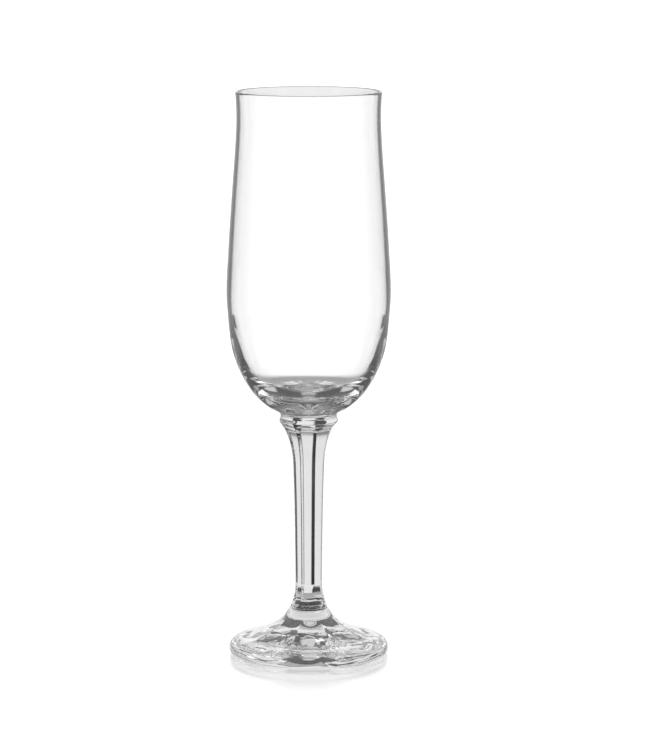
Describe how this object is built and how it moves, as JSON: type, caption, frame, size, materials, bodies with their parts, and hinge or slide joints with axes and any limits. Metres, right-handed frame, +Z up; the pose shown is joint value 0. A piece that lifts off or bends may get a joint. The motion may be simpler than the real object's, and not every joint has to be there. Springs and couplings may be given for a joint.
{
  "type": "champagne flute",
  "caption": "Tall stemmed drinking glass: waisted tulip bowl with a flared lip, faceted stem with a round collar, and a low fluted conical foot.",
  "frame": {"origin": "centre of the foot's underside, on the surface the glass stands on", "axes": "+Z up along the glass's axis; seen from above, one ridge of the eight-sided stem points 75.5 degrees clockwise from +X, and one ridge between the foot's eight flutes 63 degrees clockwise from +X"},
  "size_m": [0.0578, 0.0578, 0.2],
  "materials": {
    "bowl_glass": "clear, blown, fire polished",
    "stem_glass": "clear, pressed, fire polished",
    "foot_glass": "clear, pressed, fire polished"
  },
  "bodies": {
    "root": {"bowl": "bowl_glass", "stem": "stem_glass", "foot": "foot_glass"}
  },
  "joints": []
}
